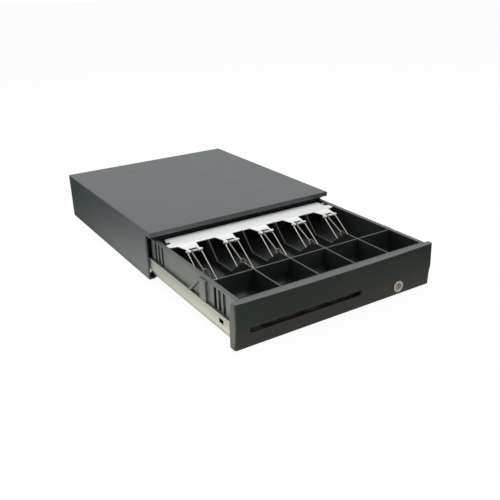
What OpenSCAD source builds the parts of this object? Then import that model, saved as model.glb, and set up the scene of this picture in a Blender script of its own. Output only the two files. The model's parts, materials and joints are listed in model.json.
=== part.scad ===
// Cash drawer: a low sheet-steel case, a steel drawer on rollers and a lift-out till with
// sprung bill clips. All sizes in millimetres, +Z up, -Y towards the user.
// The model is drawn with the drawer fully open. Places are given in the case's own frame:
// X from the middle, Y from the front edge of the side walls, Z from the bottom of the case.
// The whole is then set down so that the origin is under the middle of the open drawer.

/* [Case] */
// Width over the side walls
case_w = 410; // [340:1:480]
// Depth of the side walls
case_d = 443; // [380:1:520]
// Height of the sheet-metal case without its feet
case_h = 102; // [98:1:125]
// Thickness of the sheet steel
sheet = 1.2; // [0.8:0.1:1.6]
// How far the top reaches out in front of the side walls
lid_reach = 22; // [18:0.5:30]
// Height of the turned-down front lip
lip_h = 9.5; // [6:0.5:12]
// Radius of the long bends along the top and bottom edges
bend_r = 2.5; // [2:0.1:4]
// Width of the flanges turned in along the bottom of the sides
bottom_flange = 14; // [12:1:18]
// Width of the strip turned in along the front edge of each side
side_return = 3.5; // [2.5:0.1:4]
// Height of the rubber feet under the case
foot_h = 3; // [2.5:0.5:6]
// Radius of a foot
foot_r = 10; // [7:0.5:12]

/* [Drawer] */
// Room behind the closed drawer for the latch
latch_room = 47; // [46:1:60]
// How much of the drawer stays in the case when it is open
drawer_rest = 96; // [80:1:110]
// Thickness of the front at its ends
fascia_t = 17.5; // [15:0.5:20]
// Thickness of the top edge of the front at its ends
fascia_top_t = 11; // [9:0.5:12]
// How far the front bows out in its middle above the step
fascia_bow = 4; // [2:0.5:6]
// Height of the bottom edge of the front
fascia_z0 = 5; // [3:0.5:6]
// Height of the top edge of the front
fascia_z1 = 85; // [84:0.5:87]
// How much narrower the front is than the case
fascia_play = 1; // [0.4:0.1:2]
// Height at which the front steps back
step_z = 42; // [41:0.5:46]
// Depth of that step
step_d = 1.2; // [0.8:0.1:2]
// How far the foot of the front leans back below the step
lean_d = 1.5; // [1:0.5:5]
// Wall of the front
fascia_wall = 3; // [2:0.5:3.5]
// Length of the media slot
slot_l = 221; // [180:1:240]
// Height of the media slot
slot_h = 9; // [5:0.5:9]
// Distance from the left end of the front to the media slot
slot_margin = 27.5; // [15:0.5:40]
// Height of the middle of the media slot
slot_z = 33; // [31:0.5:35]

/* [Rails and rollers] */
// Gap between the drawer rails and the outside of the case
rail_gap = 4.5; // [4.2:0.1:6]
// Height of the top of the rails
rail_z1 = 46; // [44:0.5:48]
// Height of the bottom of the rails
rail_z0 = 11.7; // [11.2:0.1:12.5]
// Height of the underside of the step that runs on the front rollers
rail_step_z = 23.4; // [22:0.1:25]
// Depth of that step
rail_step = 5; // [4.5:0.1:6]
// Width of the flanges turned in along the top of the rails
rail_flange = 9.5; // [8:0.5:10]
// Length of the square hole near the front of each rail
rail_hole_l = 13.5; // [8:0.5:16]
// Height of that hole
rail_hole_h = 7.6; // [5:0.2:9]
// Radius of the front rollers
front_roller_r = 6; // [5:0.1:6.5]
// Radius of the rear rollers
rear_roller_r = 7; // [6:0.1:7.5]
// Width of a roller
roller_w = 4.2; // [3.5:0.1:4.4]
// Radius of the roller axles
axle_r = 2; // [1.5:0.1:2.5]
// Running clearance between a pin or shaft and its bore
running = 0.05; // [0.02:0.01:0.09]

/* [Till] */
// How far the side walls of the till stand inside the rails
till_margin = 5; // [4.5:0.1:8]
// Height of the rim of the till
rim_z = 85; // [82:0.5:86]
// Height of the compartment floors
floor_z = 39.5; // [38.5:0.5:42]
// Thickness of the compartment floors
floor_t = 2; // [1.6:0.2:2.6]
// Thickness of the side walls of the till
till_wall = 2.5; // [2:0.1:3]
// Thickness of the dividers
divider_t = 2.4; // [2:0.1:3]
// How much wider the outer cells are than the others
outer_extra = 1.5; // [0:0.1:4]
// Front-to-back size of the coin compartments
coin_d = 78; // [66:1:90]
// Radius at the bottom of the coin compartments
coin_r = 16; // [10:1:18]
// Height of the low middle part of the bill dividers
low_z = 53; // [48:1:58]
// Height of the bill plate's underside
plate_z = 82.5; // [78:0.5:83]
// Thickness of the bill plate
plate_t = 1.5; // [1:0.1:2]

/* [Bill clips] */
// Distance between the middles of neighbouring clips
clip_pitch = 76.4; // [72:0.2:77]
// Distance from the plate's front edge to the hinge of a clip
tab_l = 28; // [26:1:36]
// Length of a clip from its hinge to its cross bar
clip_l = 66.6; // [56:0.1:68]
// Distance between the two wires of a clip
clip_w = 28.4; // [27:0.2:33]
// Radius of the clip wire
wire_r = 1.5; // [1.2:0.1:1.7]
// Radius of the hinge pins of the clips
pin_r = 1.5; // [1.2:0.1:1.6]

/* [Lock] */
// Distance from the right end of the front to the lock
lock_margin = 75.7; // [40:0.1:90]
// Height of the lock's axis
lock_z = 20.5; // [19.5:0.5:22]
// Radius of the lock's front rim
lock_rim_r = 10.6; // [9.5:0.1:11]
// Radius of the turning plug
plug_r = 6; // [4:0.5:7]
// Length of the lock cam from its axis
cam_l = 15.5; // [14:0.5:16]

/* [Release] */
// Height of the latch's pivot
latch_z = 36; // [34:0.5:38]
// Radius of the solenoid coil
coil_r = 10; // [8:0.5:11]
// Radius of the solenoid plunger
plunger_r = 3.5; // [3:0.1:4]
// Outer radius of the kick spring
kick_r = 8; // [6:0.5:9]
// Free length of the kick spring
kick_l = 92; // [60:1:92]

/* [Hidden] */
$fn = 48;

eps = 0.01;
// clearance between pieces that lie beside each other
gap = 0.3;

// the case
half_w = case_w / 2;
inner_x = half_w - sheet;
// how far the flat inside of the top and bottom reaches before the bend begins
flat_x = inner_x - (bend_r - sheet) - 0.1;
base_z = 2 * sheet;
ceiling_z = case_h - sheet;
foot_x = half_w - bottom_flange - foot_r - 1;
foot_y = 30;
sill_y = 8;
sill_h = 10;

// the drawer, drawn open
travel = case_d - drawer_rest - latch_room;
front_y = -travel - lid_reach;
nose_y = front_y - fascia_bow;
case_y = -(nose_y + case_d) / 2;
fascia_back_y = front_y + fascia_t;
pan_y = fascia_back_y + sheet;
pan_end_y = drawer_rest;
fascia_x = half_w - fascia_play / 2;
slot_x = slot_margin + slot_l / 2 - fascia_x;
bow_steps = 24;
cheek_t = 6;
rail_x = half_w - rail_gap;
low_web_x = rail_x - rail_step;
rail_foot = 11;
pan_z = rail_z0 + sheet;
pan_x = low_web_x - sheet - 0.2;
hole_y = front_y + 43;
hole_z = 31;

// rollers and runners
runner_x = inner_x - 0.1;
runner_t = 1.5;
ledge_z = base_z + sheet;
rear_roller_z = ledge_z + running + rear_roller_r;
front_roller_z = rail_step_z - running - front_roller_r;
front_roller_y = 8;
rear_roller_y = drawer_rest - 8;
roller_x = runner_x - runner_t - 0.8 - roller_w;
runner_y0 = 1.6;
runner_y1 = case_d - 18;
ledge_y0 = front_roller_y + front_roller_r + 8;
ledge_x = roller_x - 0.2;
top_ledge_z = rear_roller_z + rear_roller_r + 0.35;
head_r = axle_r + 1.2;

// the till
till_x = rail_x - till_margin;
till_low_x = rail_x - rail_flange - 1;
cell_x = till_low_x - till_wall;
till_y0 = front_y + fascia_top_t + 0.5;
till_y1 = -4;
shoulder_z = rail_z1 + gap;
coin_wall_y = till_y0 + till_wall + coin_d + divider_t;
back_wall_y = till_y1 - 4.5;
bill_end_y = till_y1 - 70;
low_y1 = bill_end_y - 32;
low_y0 = low_y1 - 51;
rise_y = low_y0 - 38;
pitch = 2 * (cell_x - outer_extra) / 5;
centres = [for (i = [-2:2]) i * pitch];
clip_xs = [for (i = [-2:2]) i * clip_pitch];
groove_w = 8.5;
groove_pitch = 14.5;
lug_w = till_margin - 0.5;
lug_y = front_y + 100;

// the bill plate and its clips
plate_y1 = till_y1 - 19.5;
plate_y0 = plate_y1 - 44.5;
plate_x = cell_x - 12;
boss_r = 4.5;
boss_x = cell_x - 9;
boss_y = plate_y1 - 17;
plate_screw_r = 2;
hinge_y = plate_y0 - tab_l;
eye_r = pin_r + 1.6;
hinge_z = plate_z + plate_t - eye_r;
wire_eye_l = 3.4;
tab_half = clip_w / 2 - wire_eye_l / 2 - 0.35;
tab_base_half = 18.5;
eye_l = 4;
bar_r = wire_r + 0.3;
bar_z = floor_z + bar_r + gap;
clip_drop = hinge_z - bar_z;
clip_run = sqrt(clip_l * clip_l - clip_drop * clip_drop);
bar_y = hinge_y - clip_run;
bar_end = 2.2;
arm_r = 1.6;
arm_eye_l = 4.2;
arm_side = 5.8;
arm_run = 43.5;
arm_drop = 20;
hoop_r = 4.5;
hoop_wire_r = 1.2;
hoop_side = 3;
hoop_lean = 36;
hoop_l = 12.5;

// the lock
lock_x = fascia_x - lock_margin;
lock_body_r = lock_rim_r - 1.2;
nut_r = lock_body_r + 3;
cam_gap = sill_y + sheet + 0.6;
cam_y = cam_gap - travel;
cam_t = 2;
cam_w = 10;

// the release
stand_y = case_d - 10.5;
stand_x = 30;
stand_h = 78;
pivot_y = stand_y - 5.5;
striker_end_y = pan_end_y + 20;
striker_z = latch_z - 8;
tooth_y = striker_end_y + travel - 8;
plunger_y = pivot_y - 9;
frame_z = latch_z + 19;
frame_h = 29;
frame_x = coil_r + 2;
link_r = 1.2;
blade_t = 1.2;
switch_x = 32;
switch_y = pan_end_y + travel + 4;
kick_x = -75;
kick_z = 30;
rod_r = kick_r - 3;
socket_x = 120;
socket_z = 30;

// colours
dark_grey = [0.36, 0.38, 0.38];
black = [0.11, 0.12, 0.12];
zinc = [0.74, 0.74, 0.7];
bright = [0.88, 0.88, 0.87];

module in_case() {
  translate([0, case_y, foot_h]) children();
}

// a box between two opposite corners
module block(low, high) {
  translate(low) cube(high - low);
}

// a flat rectangle between two corners, with round corners
module soft_rect(low, high, r) {
  translate([low.x + r, low.y]) square([high.x - low.x - 2 * r, high.y - low.y]);
  translate([low.x, low.y + r]) square([high.x - low.x, high.y - low.y - 2 * r]);
  for (x = [low.x + r, high.x - r], y = [low.y + r, high.y - r]) translate([x, y]) circle(r = r);
}

// the X-Z outline of the children, run back along Y from y0 to y1
module along_y(y0, y1) {
  translate([0, y1, 0]) rotate([90, 0, 0]) linear_extrude(y1 - y0) children();
}

// the Y-Z outline of the children, run along X from x0 to x1
module along_x(x0, x1) {
  translate([x0, 0, 0]) rotate([90, 0, 90]) linear_extrude(x1 - x0) children();
}

module rod_x(x0, x1, y, z, r) {
  translate([x0, y, z]) rotate([0, 90, 0]) cylinder(h = x1 - x0, r = r);
}

module rod_y(y0, y1, x, z, r) {
  translate([x, y0, z]) rotate([-90, 0, 0]) cylinder(h = y1 - y0, r = r);
}

module rod_z(z0, z1, x, y, r) {
  translate([x, y, z0]) cylinder(h = z1 - z0, r = r);
}

// both sides: the children and their mirror image
module both_sides() {
  children();
  mirror([1, 0, 0]) children();
}

// ---- case ----

// outline of the folded shell, in_by inside its outer face
module shell_outline(in_by) {
  soft_rect([in_by - half_w, in_by], [half_w - in_by, case_h - in_by], bend_r - in_by);
}

module case_cover() {
  lip_z = case_h - lip_h;
  color(dark_grey) in_case() {
    difference() {
      along_y(0, case_d) shell_outline(0);
      along_y(-1, case_d + 1) shell_outline(sheet);
      block([bottom_flange - half_w, -1, -1], [half_w - bottom_flange, case_d + 1, sheet + 1]);
      both_sides() for (y = base_screw_ys()) rod_z(-1, base_z, base_screw_x(), y, 2.05);
    }
    difference() {
      along_y(-lid_reach, 0) intersection() {
        shell_outline(0);
        translate([-half_w, lip_z]) square([case_w, lip_h]);
      }
      along_y(sheet - lid_reach, 1) intersection() {
        shell_outline(sheet);
        translate([-half_w, 0]) square([case_w, case_h]);
      }
    }
    both_sides() block([-half_w + sheet, 0, sheet], [side_return - half_w, sheet, lip_z]);
  }
}

function base_screw_ys() = [30, case_d / 2, case_d - 30];
function base_screw_x() = half_w - bottom_flange / 2 - 1;

module base_plate() {
  color(dark_grey) in_case() difference() {
    union() {
      block([-flat_x, sheet + 0.3, sheet], [flat_x, case_d - sheet - 0.3, base_z]);
      block([-inner_x + 14, sill_y, sheet], [inner_x - 14, sill_y + sheet, sill_h]);
    }
    both_sides() for (y = base_screw_ys()) rod_z(0, base_z + 1, base_screw_x(), y, 2.05);
    both_sides() for (y = [foot_y, case_d - foot_y]) rod_z(0, base_z + 1, foot_x, y, 3.05);
  }
}

module rear_panel() {
  x1 = inner_x - 0.2;
  z0 = base_z + 0.2;
  z1 = ceiling_z - 0.2;
  flange = 11;
  color(dark_grey) in_case() difference() {
    union() {
      along_y(case_d - sheet, case_d) soft_rect([-x1, z0], [x1, z1], bend_r - sheet);
      both_sides() block([x1 - sheet, case_d - flange, z0 + 3], [x1, case_d - sheet, z1 - 3]);
      block([-x1 + 3, case_d - flange, z1 - sheet], [x1 - 3, case_d - sheet, z1]);
    }
    block([socket_x - 6.5, case_d - 3, socket_z - 6], [socket_x + 6.5, case_d + 1, socket_z + 5]);
    for (p = stand_screws()) rod_y(case_d - 3, case_d + 1, p.x, p.y, 1.55);
    rod_y(case_d - 3, case_d + 1, kick_x, kick_z, 2.05);
  }
}

function stand_screws() = [[-24, 24], [24, 24], [-24, 60], [24, 60]];

module front_crossbar() {
  y0 = 2.2;
  y1 = 22;
  z0 = fascia_z1 + 4;
  color(dark_grey) in_case() along_x(-flat_x, flat_x) difference() {
    translate([y0, z0]) square([y1 - y0, ceiling_z - z0]);
    translate([y0 + sheet, z0 + sheet]) square([y1 - y0 - 2 * sheet, ceiling_z]);
  }
}

// the runner on the right side
module runner() {
  x0 = runner_x - runner_t;
  difference() {
    union() {
      block([x0, runner_y0, base_z], [runner_x, runner_y1, front_roller_z + front_roller_r + 2]);
      for (z = [base_z, top_ledge_z]) block([ledge_x, ledge_y0, z], [x0 + eps, runner_y1, z + sheet]);
    }
    rod_x(x0 - 1, runner_x + 1, front_roller_y, front_roller_z, axle_r + running);
  }
}

module right_runner() {
  color(zinc) in_case() runner();
}

module left_runner() {
  color(zinc) in_case() mirror([1, 0, 0]) runner();
}

module roller_axles() {
  color(zinc) in_case() both_sides() {
    rod_x(roller_x - 0.2, runner_x, front_roller_y, front_roller_z, axle_r);
    rod_x(roller_x - 0.7, roller_x - 0.2 + eps, front_roller_y, front_roller_z, head_r);
  }
}

// a roller on the right side, at y and z
module roller(r, y, z) {
  difference() {
    rod_x(roller_x, roller_x + roller_w, y, z, r);
    rod_x(roller_x - 1, roller_x + roller_w + 1, y, z, axle_r + running);
    for (x = [roller_x - 1, roller_x + roller_w - 0.6]) difference() {
      rod_x(x, x + 1.6, y, z, r - 1);
      rod_x(x - 1, x + 3, y, z, head_r);
    }
  }
}

module front_roller_right() {
  color("white") in_case() roller(front_roller_r, front_roller_y, front_roller_z);
}

module front_roller_left() {
  color("white") in_case() mirror([1, 0, 0]) roller(front_roller_r, front_roller_y, front_roller_z);
}

module drawer_stops() {
  stop_l = 6.5;
  z0 = ledge_z + 0.05;
  z1 = top_ledge_z - 0.05;
  open_y = rear_roller_y - rear_roller_r - 0.5 - stop_l;
  closed_y = rear_roller_y + travel + rear_roller_r + 0.5;
  color(black) in_case() both_sides() for (y = [open_y, closed_y])
    block([ledge_x + 0.3, y, z0], [runner_x - runner_t, y + stop_l, z1]);
}

module feet() {
  color(black) in_case() both_sides() for (y = [foot_y, case_d - foot_y]) {
    rod_z(-foot_h, sheet, foot_x, y, foot_r);
    rod_z(sheet - eps, base_z + eps, foot_x, y, 3);
    rod_z(base_z, base_z + 1.6, foot_x, y, 4.5);
  }
}

module base_screws() {
  color(zinc) in_case() both_sides() for (y = base_screw_ys()) {
    rod_z(-1.8, 0, base_screw_x(), y, 3.6);
    rod_z(-eps, base_z, base_screw_x(), y, 2);
  }
}

module rear_screws() {
  color(zinc) in_case() for (p = stand_screws()) {
    rod_y(case_d, case_d + 1.4, p.x, p.y, 2.8);
    rod_y(stand_y, case_d + eps, p.x, p.y, 1.5);
  }
}

// ---- release ----

module latch_bracket() {
  ear_x = 5;
  color(zinc) in_case() difference() {
    union() {
      block([-stand_x, stand_y, base_z], [stand_x, stand_y + sheet, stand_h]);
      block([-stand_x, pivot_y - 8, base_z], [stand_x, stand_y + eps, base_z + sheet]);
      both_sides() along_x(ear_x, ear_x + sheet) translate([pivot_y - 5, latch_z - 7])
        square([stand_y - pivot_y + 5 + eps, 14]);
      both_sides() block([stand_x - 12, stand_y + sheet - eps, 14], [stand_x, case_d - sheet, 14 + sheet]);
      block([switch_x - 11, switch_y, 14], [switch_x + 11, stand_y + eps, 14 + sheet]);
      block([switch_x - 11, stand_y - eps, 14], [switch_x + 11, stand_y + sheet, 14 + sheet]);
    }
    rod_x(-20, 20, pivot_y, latch_z, pin_r);
    for (p = stand_screws()) rod_y(stand_y - 1, stand_y + 3, p.x, p.y, 1.5);
    rod_y(stand_y - 1, stand_y + 3, 16, frame_z + 15, 2);
  }
}

module latch_pivot_pin() {
  color(zinc) in_case() {
    rod_x(-7.2, 7.2, pivot_y, latch_z, pin_r);
    both_sides() rod_x(7.2 - eps, 8, pivot_y, latch_z, pin_r + 0.8);
  }
}

module latch_lever() {
  t = 3;
  color(zinc) in_case() difference() {
    along_x(-t / 2, t / 2) {
      translate([tooth_y - 2, latch_z - 4]) square([pivot_y - tooth_y + 2, 8.5]);
      translate([pivot_y, latch_z + 0.25]) circle(r = 4.25);
      polygon([[tooth_y - 2, latch_z - 3], [tooth_y - 0.6, striker_z - 1.5], [tooth_y + 2, striker_z - 1.5],
        [tooth_y + 2, latch_z - 3]]);
    }
    rod_x(-t, t, pivot_y, latch_z, pin_r + running);
    block([-t, plunger_y - 2, latch_z - link_r - 0.4], [t, plunger_y + 2, latch_z + link_r + 0.4]);
  }
}

module solenoid_frame() {
  y1 = stand_y - 0.05;
  y0 = plunger_y - coil_r - 1;
  color(zinc) in_case() difference() {
    block([-frame_x, y0, frame_z], [frame_x, y1, frame_z + frame_h]);
    block([-frame_x - 1, y0 - 1, frame_z + 1.5], [frame_x + 1, y1 - 1.5, frame_z + frame_h - 1.5]);
    rod_z(frame_z - 1, frame_z + 3, 0, plunger_y, plunger_r + 0.4);
  }
}

module solenoid_coil() {
  z0 = frame_z + 1.6;
  z1 = frame_z + frame_h - 1.6;
  color([0.55, 0.16, 0.1]) in_case() {
    difference() {
      union() {
        rod_z(z0, z1, 0, plunger_y, coil_r - 1.2);
        for (z = [z0, z1 - 1.4]) rod_z(z, z + 1.4, 0, plunger_y, coil_r - 0.2);
      }
      rod_z(z0 - 1, z1 - 2, 0, plunger_y, plunger_r + 0.3);
    }
    block([coil_r - 3, plunger_y - 3, frame_z + 11], [coil_r + 8, plunger_y + 3, frame_z + 19]);
  }
}

module solenoid_plunger() {
  fork_z = latch_z + 5.6;
  color(bright) in_case() {
    rod_z(fork_z, frame_z + frame_h - 9, 0, plunger_y, plunger_r);
    rod_z(fork_z + 2, fork_z + 3.5, 0, plunger_y, plunger_r + 2.5);
    both_sides() block([2, plunger_y - 2.4, latch_z - 2.4], [2 + blade_t, plunger_y + 2.4, fork_z + 1]);
    rod_x(-2 - blade_t, 2 + blade_t, plunger_y, latch_z, link_r);
  }
}

module plunger_spring() {
  z0 = latch_z + 5.6 + 3.7;
  color(bright) in_case() difference() {
    rod_z(z0, frame_z - 0.2, 0, plunger_y, plunger_r + 1.9);
    rod_z(z0 - 1, frame_z + 1, 0, plunger_y, plunger_r + 0.7);
  }
}

module kick_spring() {
  y1 = case_d - sheet - 5;
  color(bright) in_case() difference() {
    rod_y(y1 - kick_l, y1 - 0.1, kick_x, kick_z, kick_r);
    rod_y(y1 - kick_l - 1, y1 + 1, kick_x, kick_z, kick_r - 1.6);
  }
}

module spring_rod() {
  y1 = case_d - sheet;
  color(zinc) in_case() {
    rod_y(y1 - 5, y1, kick_x, kick_z, kick_r + 2);
    rod_y(pan_end_y + travel + 3, y1 - 5 + eps, kick_x, kick_z, rod_r);
    rod_y(y1 - eps, case_d + 0.4, kick_x, kick_z, 2);
  }
}

module micro_switch() {
  color(black) in_case() difference() {
    block([switch_x - 10, switch_y + 0.3, 14 + sheet], [switch_x + 10, switch_y + 10.5, 27]);
    rod_y(switch_y - 1, switch_y + 5.5, switch_x - 4, 21, 1.5 + running);
    for (x = [switch_x - 7.5, switch_x + 7.5]) rod_z(10, 30, x, switch_y + 7, 1.2);
  }
}

module switch_button() {
  color("firebrick") in_case() rod_y(pan_end_y + travel + 0.4, switch_y + 3.4, switch_x - 4, 21, 1.5);
}

module cable_socket() {
  y0 = case_d - 16;
  color(black) in_case() difference() {
    union() {
      block([socket_x - 8, y0, socket_z - 8], [socket_x + 8, case_d - sheet, socket_z + 7]);
      block([socket_x - 6.2, y0, socket_z - 5.7], [socket_x + 6.2, case_d, socket_z + 4.7]);
    }
    block([socket_x - 5, y0 + 3, socket_z - 4.5], [socket_x + 5, case_d + 1, socket_z + 1.5]);
    block([socket_x - 2, y0 + 3, socket_z + 1], [socket_x + 2, case_d + 1, socket_z + 3.6]);
  }
}

module socket_lead() {
  r = 1.2;
  x0 = 16;
  y0 = plunger_y + 3;
  y1 = stand_y + sheet + r + 0.4;
  z1 = frame_z + 15;
  bends = [[x0, y1, z1], [socket_x, y1, z1]];
  color(black) in_case() {
    rod_y(y0, y1, x0, z1, r);
    rod_x(x0, socket_x, y1, z1, r);
    rod_z(socket_z + 7, z1, socket_x, y1, r);
    for (p = bends) translate(p) sphere(r = r, $fn = 24);
  }
}

// ---- drawer ----

function rivet_ys() = [for (i = [0:3]) pan_y + 30 + i * (pan_end_y - pan_y - 60) / 3];
function fascia_screw_xs() = [-fascia_x + 17, -60, lock_x - 48.8, fascia_x - 17];
fascia_screw_z = 18;

module drawer_pan() {
  wall_z = rail_z1 - 2;
  color(zinc) in_case() difference() {
    union() {
      block([-pan_x, fascia_back_y, pan_z], [pan_x, pan_end_y, pan_z + sheet]);
      block([-rail_x + 1.6, fascia_back_y, pan_z], [rail_x - 1.6, pan_y, wall_z]);
      block([-pan_x, pan_end_y - sheet, pan_z], [pan_x, pan_end_y, wall_z]);
    }
    block([slot_x - slot_l / 2 - 3, fascia_back_y - 1, slot_z - slot_h / 2 - 1],
      [slot_x + slot_l / 2 + 3, pan_y + 1, slot_z + slot_h / 2 + 1]);
    rod_y(fascia_back_y - 1, pan_y + 1, lock_x, lock_z, lock_body_r + 0.1);
    for (x = fascia_screw_xs()) rod_y(fascia_back_y - 1, pan_y + 1, x, fascia_screw_z, 1.55);
    both_sides() for (y = rivet_ys()) rod_z(pan_z - 1, pan_z + 3, pan_x - rail_foot / 2, y, 1.6);
    block([lock_x - nut_r - gap, pan_y, pan_z - 1], [lock_x + cam_l + 1, cam_y + cam_t + 2, pan_z + 3]);
  }
}

// the rail on the right side
module rail() {
  y0 = pan_y;
  tab_y = rear_roller_y - 8;
  difference() {
    union() {
      along_y(y0, pan_end_y) {
        translate([rail_x - rail_flange, rail_z1 - sheet]) square([rail_flange, sheet]);
        translate([rail_x - sheet, rail_step_z]) square([sheet, rail_z1 - rail_step_z]);
        translate([low_web_x - sheet, rail_step_z]) square([rail_step + sheet, sheet]);
        translate([low_web_x - sheet, rail_z0]) square([sheet, rail_step_z + sheet - rail_z0]);
        translate([low_web_x - rail_foot, rail_z0]) square([rail_foot, sheet]);
      }
      block([low_web_x - sheet, tab_y, rear_roller_z - 4.5], [low_web_x, pan_end_y, rail_step_z]);
    }
    block([rail_x - 3, hole_y, hole_z], [rail_x + 1, hole_y + rail_hole_l, hole_z + rail_hole_h]);
    rod_x(low_web_x - 3, low_web_x + 1, rear_roller_y, rear_roller_z, axle_r);
    for (y = rivet_ys()) rod_z(rail_z0 - 1, pan_z + 1, pan_x - rail_foot / 2, y, 1.6);
  }
}

module right_rail() {
  color(bright) in_case() rail();
}

module left_rail() {
  color(bright) in_case() mirror([1, 0, 0]) rail();
}

module rail_rivets() {
  color(zinc) in_case() both_sides() for (y = rivet_ys()) {
    rod_z(rail_z0, pan_z + sheet + eps, pan_x - rail_foot / 2, y, 1.6);
    rod_z(pan_z + sheet, pan_z + sheet + 1, pan_x - rail_foot / 2, y, 3);
  }
}

module rear_axles() {
  color(zinc) in_case() both_sides() {
    rod_x(low_web_x - sheet, roller_x + roller_w + 0.1, rear_roller_y, rear_roller_z, axle_r);
    rod_x(roller_x + roller_w + 0.1 - eps, roller_x + roller_w + 0.5, rear_roller_y, rear_roller_z, head_r);
  }
}

module rear_roller_right() {
  color("white") in_case() roller(rear_roller_r, rear_roller_y, rear_roller_z);
}

module rear_roller_left() {
  color("white") in_case() mirror([1, 0, 0]) roller(rear_roller_r, rear_roller_y, rear_roller_z);
}

module striker() {
  window_y = tooth_y - travel;
  color(zinc) in_case() difference() {
    union() {
      block([-7, pan_end_y, striker_z], [7, striker_end_y, striker_z + 2]);
      block([-7, pan_end_y, pan_z + 2], [7, pan_end_y + 2, striker_z + 1]);
    }
    block([-2.6, window_y - 3.5, striker_z - 1], [2.6, window_y + 4, striker_z + 3]);
  }
}

// the front without its bow, seen from its right end
module fascia_outline() {
  back_z = shoulder_z - 1.3;
  polygon([[front_y + 2, fascia_z1], [front_y + fascia_top_t, fascia_z1], [front_y + fascia_top_t, back_z],
    [fascia_back_y, back_z], [fascia_back_y, fascia_z0], [front_y + step_d + lean_d, fascia_z0],
    [front_y + step_d, step_z], [front_y + 2, step_z]]);
}

// the closed ends of the front, thin at the top and full below
module fascia_end() {
  polygon([[front_y + 2, fascia_z1], [front_y + fascia_top_t, fascia_z1], [fascia_back_y, shoulder_z],
    [fascia_back_y, fascia_z0], [front_y + step_d + lean_d, fascia_z0], [front_y + step_d, step_z],
    [front_y + 2, step_z]]);
}

// the bowed face above the step
module bowed_face() {
  face = [for (i = [-bow_steps / 2:bow_steps / 2]) let (part = 2 * i / bow_steps)
    [part * fascia_x, nose_y + fascia_bow * part * part]];
  translate([0, 0, step_z]) linear_extrude(fascia_z1 - step_z)
    polygon(concat(face, [[fascia_x, front_y + 4], [-fascia_x, front_y + 4]]));
}

module fascia() {
  x1 = fascia_x;
  w = fascia_wall;
  inner_y = front_y + step_d + lean_d + w;
  color(dark_grey) in_case() difference() {
    union() {
      difference() {
        union() {
          along_x(-x1, x1) fascia_outline();
          both_sides() along_x(x1 - cheek_t, x1) fascia_end();
          bowed_face();
        }
        block([-x1 + w, inner_y, fascia_z0 + w], [x1 - w, fascia_back_y + 1, shoulder_z - 1.3 - w]);
      }
      for (x = fascia_screw_xs()) rod_y(inner_y - 1, fascia_back_y, x, fascia_screw_z, 3.4);
      rod_y(inner_y - 1, fascia_back_y, lock_x, lock_z, lock_rim_r + 2);
    }
    block([slot_x - slot_l / 2, nose_y - 1, slot_z - slot_h / 2],
      [slot_x + slot_l / 2, inner_y + 1, slot_z + slot_h / 2]);
    rod_y(nose_y - 1, front_y + step_d + 3, lock_x, lock_z, lock_rim_r + 0.1);
    rod_y(front_y - 1, fascia_back_y + 1, lock_x, lock_z, lock_body_r + 0.1);
    for (x = fascia_screw_xs()) rod_y(fascia_back_y - 9, fascia_back_y + 1, x, fascia_screw_z, 1.5);
  }
}

module fascia_screws() {
  color(zinc) in_case() for (x = fascia_screw_xs()) {
    rod_y(fascia_back_y - 8.5, pan_y + eps, x, fascia_screw_z, 1.5);
    rod_y(pan_y, pan_y + 2, x, fascia_screw_z, 3);
  }
}

module lock_housing() {
  seat_y = front_y + step_d + 3;
  color(bright) in_case() difference() {
    union() {
      rod_y(seat_y - 3.6, seat_y, lock_x, lock_z, lock_rim_r);
      rod_y(seat_y - eps, cam_y - 1.2, lock_x, lock_z, lock_body_r);
    }
    rod_y(front_y - 1, cam_y, lock_x, lock_z, plug_r + running);
  }
}

module lock_nut() {
  color(zinc) in_case() difference() {
    translate([lock_x, pan_y, lock_z]) rotate([-90, 0, 0]) cylinder(h = 3, r = nut_r, $fn = 6);
    rod_y(pan_y - 1, pan_y + 4, lock_x, lock_z, lock_body_r);
  }
}

module lock_plug() {
  seat_y = front_y + step_d + 3;
  color(zinc) in_case() difference() {
    union() {
      rod_y(seat_y - 3.8, cam_y - 0.7, lock_x, lock_z, plug_r);
      rod_y(cam_y - 0.8, cam_y + cam_t + 0.8, lock_x, lock_z, 3);
      rod_y(cam_y + cam_t + 0.05, cam_y + cam_t + 0.8, lock_x, lock_z, 4.5);
    }
    block([lock_x - 0.6, front_y - 1, lock_z - 4], [lock_x + 0.6, seat_y + 8, lock_z + 4]);
  }
}

module lock_cam() {
  color(zinc) in_case() difference() {
    along_y(cam_y, cam_y + cam_t) {
      translate([lock_x, lock_z]) circle(r = cam_w / 2);
      translate([lock_x, lock_z - cam_w / 2]) square([cam_l, cam_w]);
    }
    rod_y(cam_y - 1, cam_y + cam_t + 1, lock_x, lock_z, 3);
  }
}

// ---- till ----

// inner left and right sides of compartment i
function cell_x0(i) = i == 0 ? -cell_x : centres[i] - pitch / 2 + divider_t / 2;
function cell_x1(i) = i == 4 ? cell_x : centres[i] + pitch / 2 - divider_t / 2;

module coin_pocket(i) {
  along_x(cell_x0(i), cell_x1(i))
    soft_rect([till_y0 + till_wall, floor_z], [coin_wall_y - divider_t, rim_z + 40], coin_r);
}

module bill_pocket(i) {
  block([cell_x0(i), coin_wall_y, floor_z], [cell_x1(i), back_wall_y, rim_z + 1]);
}

// what is cut out of the bill dividers: low in the middle, sloping at both ends
module divider_gap() {
  polygon([[bill_end_y, rim_z], [low_y1, low_z], [low_y0, low_z], [rise_y, rim_z], [rise_y, rim_z + 5],
    [bill_end_y, rim_z + 5]]);
}

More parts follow.
